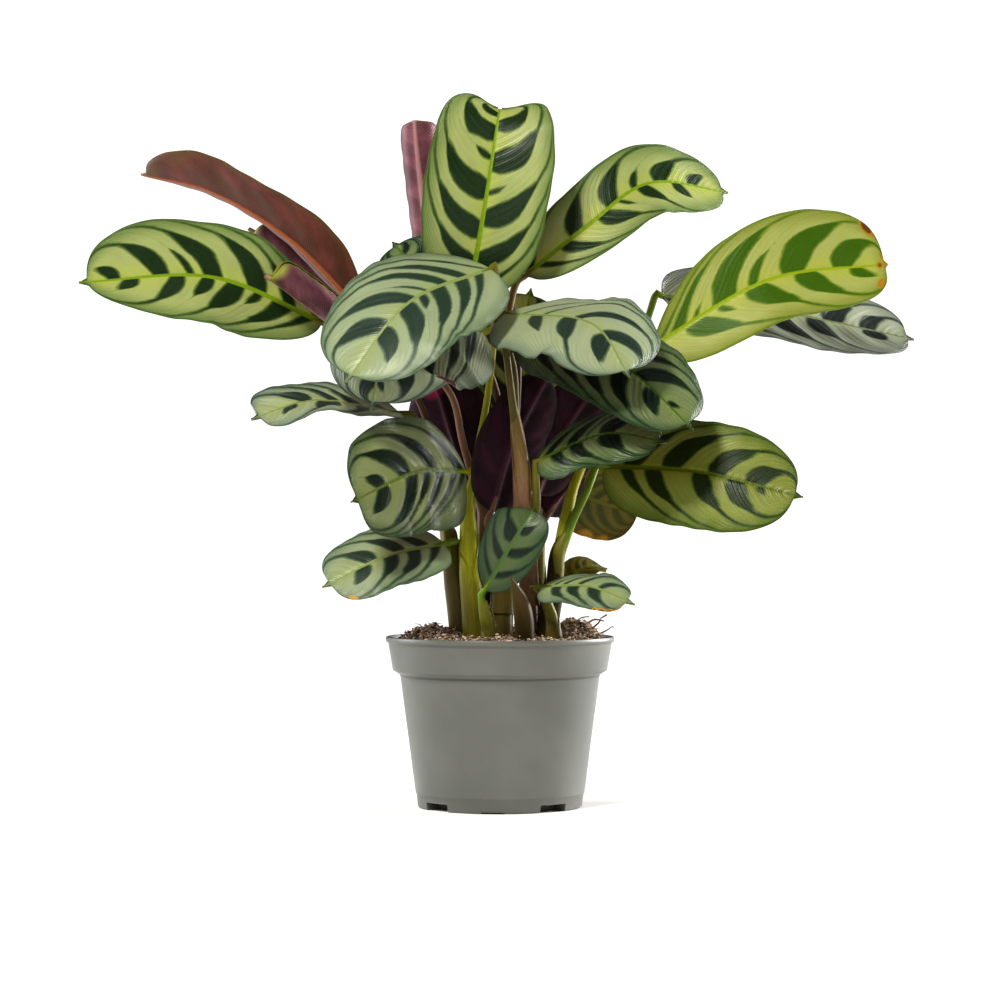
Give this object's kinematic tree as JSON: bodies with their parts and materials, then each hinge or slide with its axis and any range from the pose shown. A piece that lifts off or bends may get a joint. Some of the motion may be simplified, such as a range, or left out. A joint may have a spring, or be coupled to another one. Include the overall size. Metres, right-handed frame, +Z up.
{
  "type": "potted prayer plant",
  "caption": "Amabilis prayer plant with striped oval leaves on leafy stems, standing in soil in a small round nursery pot.",
  "frame": {"origin": "centre of the pot's flat underside", "axes": "+Z up along the pot's axis, +Y to the back of the plant, +X along the plant's widest spread, to the right of its front"},
  "size_m": [0.2632, 0.1118, 0.2211],
  "materials": {
    "pot": "matte",
    "soil": "matte",
    "leaf": "satin",
    "stem": "satin"
  },
  "bodies": {
    "root": {"leaf_arched_left": "leaf", "leaf_back_left": "leaf", "leaf_back_middle": "leaf", "leaf_back_right": "leaf", "leaf_back_tall": "leaf", "leaf_bottom_left": "leaf", "leaf_bottom_right": "leaf", "leaf_brown": "leaf", "leaf_edge_left": "leaf", "leaf_far_left": "leaf", "leaf_far_right": "leaf", "leaf_front": "leaf", "leaf_low_left": "leaf", "leaf_low_purple": "leaf", "leaf_low_right": "leaf", "leaf_middle_left": "leaf", "leaf_middle_right": "leaf", "leaf_purple_left": "leaf", "leaf_purple_right": "leaf", "leaf_right": "leaf", "leaf_rolled_back": "leaf", "leaf_rolled_front": "leaf", "leaf_shade": "leaf", "leaf_small_back": "leaf", "leaf_top": "leaf", "leaf_top_right": "leaf", "leaf_under_left": "leaf", "leaf_upper_right": "leaf", "pot": "pot", "shoot_back_left": "stem", "shoot_back_right": "stem", "shoot_front_left": "stem", "shoot_left": "stem", "shoot_middle": "stem", "shoot_right": "stem", "shoot_small_front": "stem", "shoot_small_right": "stem", "shoot_spear": "stem", "shoot_tall": "stem", "soil": "soil"}
  },
  "joints": []
}
